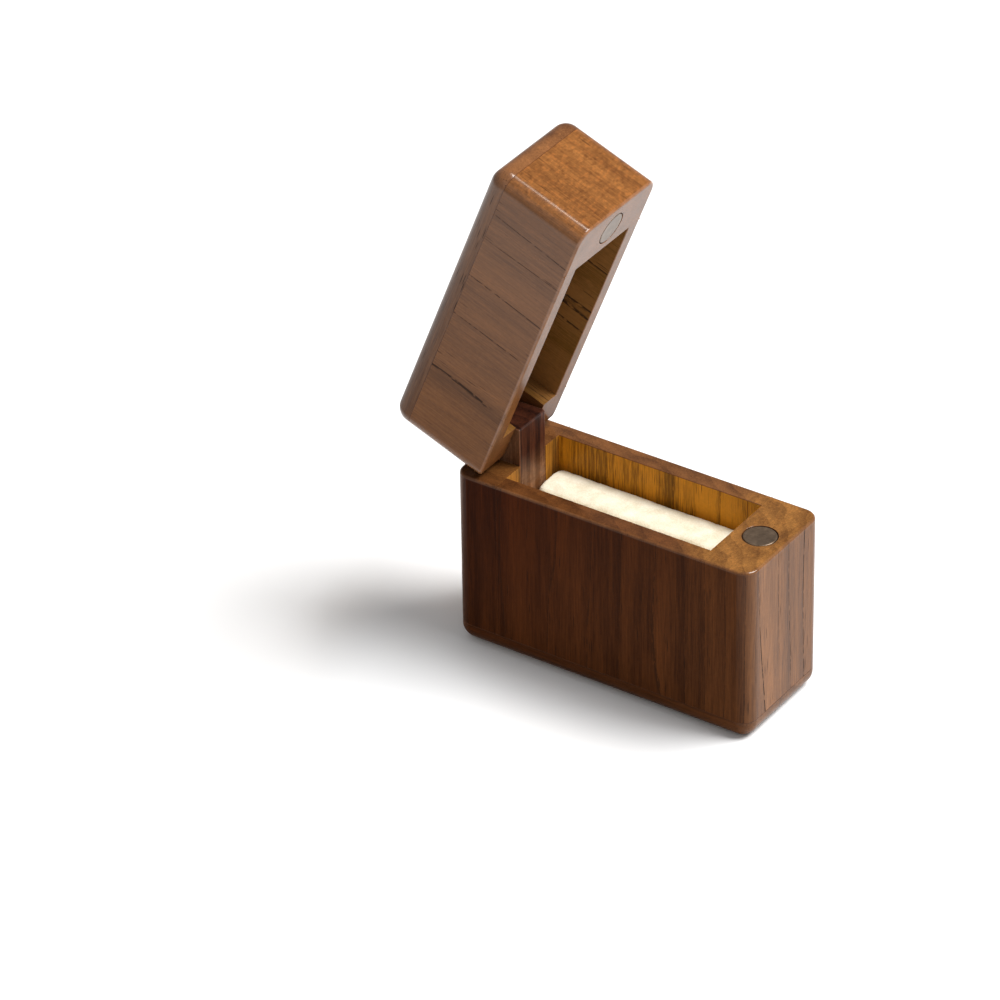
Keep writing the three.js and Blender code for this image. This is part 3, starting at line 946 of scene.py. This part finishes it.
# Turns a profile of (radius, height) about an upright axis; it starts and ends on the axis
def turned(name, profile, sides):
    work = bmesh.new()
    rings = []
    for radius, height in profile:
        if radius < 1e-6:
            rings.append([work.verts.new((0, 0, height))])
        else:
            rings.append([work.verts.new((
                radius * math.cos(2 * math.pi * i / sides),
                radius * math.sin(2 * math.pi * i / sides), height)) for i in range(sides)])
    for first, second in zip(rings, rings[1:]):
        for i in range(sides):
            j = (i + 1) % sides
            corners = [first[i % len(first)], first[j % len(first)],
                       second[j % len(second)], second[i % len(second)]]
            work.faces.new(list(dict.fromkeys(corners)))
    bmesh.ops.recalc_face_normals(work, faces=work.faces)
    mesh = bpy.data.meshes.new(name)
    work.to_mesh(mesh)
    work.free()
    return mesh


magnetLook = {"brushed": (1.1, 11, 1), "lineDetail": 4, "lineRoughness": 0.6,
              "stainScale": 0.8, "stainDetail": 3, "stainRoughness": 0.55,
              "dark": (0.36, (0.07, 0.042, 0.022)), "light": (0.66, (0.19, 0.128, 0.08)),
              "roughness": (0.3, 0.55), "metal": 0.7, "lacquer": 0.3, "lacquerRoughness": 0.2,
              "bump": 0.25, "bumpDepth": 0.01}
pinLook = {"drawn": (6, 6, 0.4), "lineDetail": 3, "lineRoughness": 0.5, "roughness": (0.22, 0.42),
           "dark": (0, (0.3, 0.19, 0.07)), "light": (1, (0.62, 0.43, 0.17))}


def magnetMaterial():
    look = magnetLook
    material, tree, surface = newMaterial("magnetPlate")
    place = attributeVector(tree, "facePlace")
    lines = noiseAt(tree, stretchedPlace(tree, place, look["brushed"]), 1,
                    look["lineDetail"], look["lineRoughness"])
    stain = noiseAt(tree, place, look["stainScale"], look["stainDetail"], look["stainRoughness"])
    feed(tree, surface, {
        "Base Color": addRamp(tree, averaged(tree, lines, stain), look["dark"], look["light"]),
        "Roughness": scaledRange(tree, lines, *look["roughness"]), "Metallic": look["metal"],
        "Coat Weight": look["lacquer"], "Coat Roughness": look["lacquerRoughness"]})
    addRelief(tree, surface, look["bump"], look["bumpDepth"], lines)
    return material


def brassMaterial():
    look = pinLook
    material, tree, surface = newMaterial("pinBrass")
    drawn = stretchedPlace(tree, attributeVector(tree, "facePlace"), look["drawn"])
    lines = noiseAt(tree, drawn, 1, look["lineDetail"], look["lineRoughness"])
    feed(tree, surface, {
        "Base Color": addRamp(tree, lines, look["dark"], look["light"]),
        "Roughness": scaledRange(tree, lines, *look["roughness"]), "Metallic": 1})
    return material


def setFacePlace(mesh):
    places = mesh.attributes.new("facePlace", "FLOAT_VECTOR", "POINT")
    for vertex in mesh.vertices:
        places.data[vertex.index].vector = vertex.co


def makeMagnet(node, facesUp):
    low, high = shutBox(node)
    radius, thick = (high.x - low.x) / 2, high.z - low.z
    chamfer, dish = magnetShape["chamfer"], magnetShape["dish"]
    side, sideDepth = magnetShape["dishSide"]
    crest, crestDepth = magnetShape["crest"]
    profile = [(0, thick - dish), (radius * magnetShape["dishFloor"], thick - dish),
               (radius * side, thick - dish * sideDepth),
               (radius - chamfer * crest, thick - crestDepth)]
    profile += [(radius - chamfer * inward, thick - chamfer * down)
                for inward, down in magnetShape["rim"]]
    profile += [(radius, chamfer), (radius - chamfer, 0), (0, 0)]
    mesh = turned(node, profile, magnetShape["sides"])
    setFacePlace(mesh)
    place = Vector(((low.x + high.x) / 2, (low.y + high.y) / 2, low.z if facesUp else high.z))
    flip = Matrix.Identity(4) if facesUp else Matrix.Rotation(math.pi, 4, "X")
    mesh.transform(Matrix.Translation(place) @ flip)
    return finishPiece(mesh, node + "_disc", bodyOf(node), [node], magnetPlate)


def makePin():
    low, high = shutBox("hinge_pin")
    radius, length = (high.x - low.x) / 2, high.y - low.y
    chamfer = pinShape["chamfer"]
    profile = [(0, 0), (radius - chamfer, 0), (radius, chamfer),
               (radius, length - chamfer), (radius - chamfer, length), (0, length)]
    mesh = turned("hinge_pin", profile, pinShape["sides"])
    setFacePlace(mesh)
    place = Matrix.Translation((hingePlace.x, high.y, hingePlace.z))
    mesh.transform(place @ Matrix.Rotation(math.pi / 2, 4, "X"))
    return finishPiece(mesh, "hinge_pin_rod", "lid", ["hinge_pin"], brassMaterial())


magnetPlate = magnetMaterial()
makeMagnet("base_magnet", True)
makeMagnet("lid_magnet", False)
makePin()
print("magnets and pin turned")

# The pads that grip the ring, in millimetres
cushion = {
    "enlarge": 20,       # the cloth works at this many times life size
    "voxel": 0.62,       # mesh step
    "startInset": 0.2,   # the pad is drawn this much smaller before it swells
    "lip": 0.5,          # rounding where the two halves meet
    "lipSteps": 3,
    "shoulder": 0.6,     # how far the sides stand below the highest point of the solid
    "dome": 0.4,         # rise of the middle of each half
    "domeFrom": 8,       # height above the card where the rise begins
    "wallGap": 0.03,     # air kept between suede and wood
    "pressure": 3.5, "mass": 0.25, "stiffness": 18, "bending": 1.2, "quality": 6, "frames": 20,
    "held": 1,           # height of the lowest part, which the card holds still
    "mostSwell": 0.55,   # furthest a point may move
    "nap": 0.035,        # height of the suede's tufts
    "tuftScale": 2.3, "fineTuftScale": 4.9, "fineTuft": 0.6,
    "dimple": 0.1,       # soft unevenness of the foam
    "dimpleScale": 0.55,
    "fill": 0.7,
}
big = cushion["enlarge"] * mm


# One pad at cloth size: an evenly meshed block, drawn a little small, with a domed top
def draftPad(node, side, wall):
    low, high = shutBox(node)
    inset = cushion["startInset"]
    shoulder = high.z - cushion["shoulder"]
    across = sorted([side * cushion["wallGap"] * 0.5, side * (wall - inset)])
    mesh = meshFromTree(formTree, node, {
        "Low": Vector((cavityStart + inset, across[0], low.z)),
        "High": Vector((cavityEnd - inset, across[1], shoulder)),
        "Radius": cushion["lip"], "Arc steps": cushion["lipSteps"]})
    mesh.transform(Matrix.Scale(big, 4))
    holder = addObject(node + "_draft", mesh)
    remesh = holder.modifiers.new("remesh", "REMESH")
    remesh.mode = "VOXEL"
    remesh.voxel_size = cushion["voxel"] * big
    remeshed = evaluatedMesh(holder, node)
    holder.modifiers.clear()
    holder.data = remeshed
    for v in remeshed.vertices:
        fromMiddle = abs(v.co.y / big) / (wall / 2) - 1
        risen = smoothStep(low.z + cushion["domeFrom"], shoulder, v.co.z / big)
        v.co.z += cushion["dome"] * big * risen * (1 - fromMiddle * fromMiddle)
    return holder


# Fills a pad from inside; no point moves further than mostSwell
def swellPad(holder, floorZ):
    scene = bpy.context.scene
    heldZ = (floorZ + cushion["held"]) * big
    group = holder.vertex_groups.new(name="onTheBoard")
    group.add([v.index for v in holder.data.vertices if v.co.z < heldZ], 1, "REPLACE")
    cloth = holder.modifiers.new("cloth", "CLOTH")
    cloth.settings.quality = cushion["quality"]
    cloth.settings.mass = cushion["mass"]
    cloth.settings.tension_stiffness = cushion["stiffness"]
    cloth.settings.compression_stiffness = cushion["stiffness"]
    cloth.settings.bending_stiffness = cushion["bending"]
    cloth.settings.use_pressure = True
    cloth.settings.uniform_pressure_force = cushion["pressure"]
    cloth.settings.vertex_group_mass = "onTheBoard"
    cloth.settings.effector_weights.gravity = 0
    cloth.collision_settings.use_self_collision = False
    cloth.point_cache.frame_start = 1
    cloth.point_cache.frame_end = cushion["frames"]
    for number in range(1, cushion["frames"] + 1):
        scene.frame_set(number)
    swollen = evaluatedMesh(holder, holder.name)
    scene.frame_set(1)
    holder.modifiers.clear()
    limit = cushion["mostSwell"] * big
    for v, stop in zip(holder.data.vertices, swollen.vertices):
        step = stop.co - v.co
        if step.length > limit:
            step = step * (limit / step.length)
        v.co += step


def makeCushionHalf(node, side):
    floorZ, gap = shutBox(node)[0].z, cushion["wallGap"]
    wall = cavityY - gap
    holder = draftPad(node, side, wall)
    swellPad(holder, floorZ)
    holder.data.transform(Matrix.Scale(1 / big, 4))
    finer = holder.modifiers.new("finer", "SUBSURF")
    finer.levels = finer.render_levels = 1
    fine = evaluatedMesh(holder, node)
    bpy.data.objects.remove(holder)
    places = fine.attributes.new("facePlace", "FLOAT_VECTOR", "POINT")
    normals = [v.normal.copy() for v in fine.vertices]
    for v, normal in zip(fine.vertices, normals):
        places.data[v.index].vector = v.co
        lift = noise.noise(v.co * cushion["dimpleScale"]) * cushion["dimple"]
        tuft = noise.noise(v.co * cushion["tuftScale"])
        tuft += cushion["fineTuft"] * noise.noise(v.co * cushion["fineTuftScale"])
        v.co += normal * (lift + tuft * cushion["nap"])
        v.co.x = min(max(v.co.x, cavityStart + gap), cavityEnd - gap)
        v.co.y = min(max(v.co.y * side, gap * 0.5), wall) * side
        v.co.z = max(v.co.z, floorZ + 0.01)
    for face in fine.polygons:
        face.use_smooth = True
    fine.materials.clear()
    fine.materials.append(suede)
    fine.transform(Matrix.Scale(mm, 4))
    piece = addObject(node + "_suede", fine)
    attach(piece, "base")
    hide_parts(node)
    return piece


suedeLook = {"brushedScale": 0.5, "brushedDetail": 3, "tuftScale": 5.5, "tuftDetail": 4,
             "softness": 0.62, "dark": (0.36, (0.66, 0.59, 0.42)),
             "light": (0.62, (0.86, 0.82, 0.67)), "roughness": 0.95, "sheen": 0.35,
             "sheenRoughness": 0.5, "sheenTint": (1, 0.97, 0.9, 1), "bump": 0.6, "bumpDepth": 0.06}
cardLook = {"pulpScale": 900, "pulpDetail": 5, "pulpRoughness": 0.7, "dark": (0, (0.2, 0.17, 0.14)),
            "light": (1, (0.42, 0.39, 0.34)), "roughness": 0.9, "bump": 0.4, "bumpDepth": 0.04}


def suedeMaterial():
    look = suedeLook
    material, tree, surface = newMaterial("creamSuede")
    place = attributeVector(tree, "facePlace")
    tufts = noiseAt(tree, place, look["tuftScale"], look["tuftDetail"], look["softness"])
    brushed = noiseAt(tree, place, look["brushedScale"], look["brushedDetail"], look["softness"])
    feed(tree, surface, {
        "Base Color": addRamp(tree, averaged(tree, brushed, tufts), look["dark"], look["light"]),
        "Roughness": look["roughness"], "Sheen Weight": look["sheen"],
        "Sheen Roughness": look["sheenRoughness"], "Sheen Tint": look["sheenTint"]})
    addRelief(tree, surface, look["bump"], look["bumpDepth"], tufts)
    return material


def cardMaterial():
    look = cardLook
    material, tree, surface = newMaterial("greyCard")
    place = addNode(tree, "ShaderNodeTexCoord").outputs["Object"]
    pulp = noiseAt(tree, place, look["pulpScale"], look["pulpDetail"], look["pulpRoughness"])
    feed(tree, surface, {
        "Base Color": addRamp(tree, pulp, look["dark"], look["light"]),
        "Roughness": look["roughness"]})
    addRelief(tree, surface, look["bump"], look["bumpDepth"], pulp)
    return material


suede = suedeMaterial()
makeCushionHalf("cushion_front_half", -1)
makeCushionHalf("cushion_back_half", 1)
boardPiece = frame["nodes"]["cushion_board"]
boardPiece.data.materials.clear()
boardPiece.data.materials.append(cardMaterial())
print("cushion filled")

# Floor, lights and camera; places in metres, power in watts
studio = {
    "floorSize": 4.0, "floorColour": (0.93, 0.93, 0.93, 1), "floorGap": 0.00002,
    "worldColour": (1.0, 1.0, 1.0, 1), "worldStrength": 0.36,
}
softboxes = {
    "keySoftbox": {"place": (0.47, 0.31, 0.92), "size": 0.62, "power": 17, "colour": (1, 1, 1)},
    "fillSoftbox": {"place": (0.15, -0.75, 0.55), "size": 0.7, "power": 0.4, "colour": (1, 1, 1)},
    "edgeSoftbox": {"place": (0.1, 0.36, 0.98), "size": 0.25, "power": 0.8,
                    "colour": (1, 0.8, 0.62)},
}
target = (cadBox[0] + cadBox[1]) / 2


def makeFloor():
    half = studio["floorSize"] / 2
    mesh = bpy.data.meshes.new("studioFloor")
    mesh.from_pydata([(-half, -half, 0), (half, -half, 0), (half, half, 0), (-half, half, 0)],
                     [], [(0, 1, 2, 3)])
    floor = addObject("studioFloor", mesh)
    material, tree, surface = newMaterial("paleFloor")
    feed(tree, surface, {
        "Base Color": studio["floorColour"], "Roughness": 0.8, "Specular IOR Level": 0.1})
    mesh.materials.append(material)
    floor.location.z = cadBox[0].z - studio["floorGap"]


def addSoftbox(name, box):
    light = bpy.data.lights.new(name, "AREA")
    light.shape = "SQUARE"
    light.size = box["size"]
    light.energy = box["power"]
    light.color = box["colour"]
    lamp = addObject(name, light)
    lamp.location = box["place"]
    lamp.rotation_mode = "QUATERNION"
    lamp.rotation_quaternion = (target - Vector(box["place"])).to_track_quat("-Z", "Y")


def makeStudio():
    world = bpy.data.worlds.new("paleStudio")
    world.use_nodes = True
    sky = world.node_tree.nodes["Background"]
    sky.inputs["Color"].default_value = studio["worldColour"]
    sky.inputs["Strength"].default_value = studio["worldStrength"]
    bpy.context.scene.world = world
    bpy.context.scene.view_settings.view_transform = "Standard"
    for name, box in softboxes.items():
        addSoftbox(name, box)


# Looks down on the box from the front right
view = {
    "place": (0.38821, -0.60148, 0.49634),
    "forward": (-0.47259, 0.69032, -0.54783),
    "right": (0.83032, 0.55711, -0.01426),
    "lens": 216.15, "sensor": 36, "clipStart": 0.01,
}


def makeCamera():
    forward = Vector(view["forward"]).normalized()
    right = Vector(view["right"])
    right = (right - forward * right.dot(forward)).normalized()
    up = right.cross(forward)
    data = bpy.data.cameras.new("boxCamera")
    data.lens = view["lens"]
    data.sensor_width = view["sensor"]
    data.clip_start = view["clipStart"]
    camera = addObject("boxCamera", data)
    turn = Matrix((right, up, -forward)).transposed().to_4x4()
    camera.matrix_world = Matrix.Translation(Vector(view["place"])) @ turn
    bpy.context.scene.camera = camera


makeFloor()
makeStudio()
makeCamera()
print("studio ready")
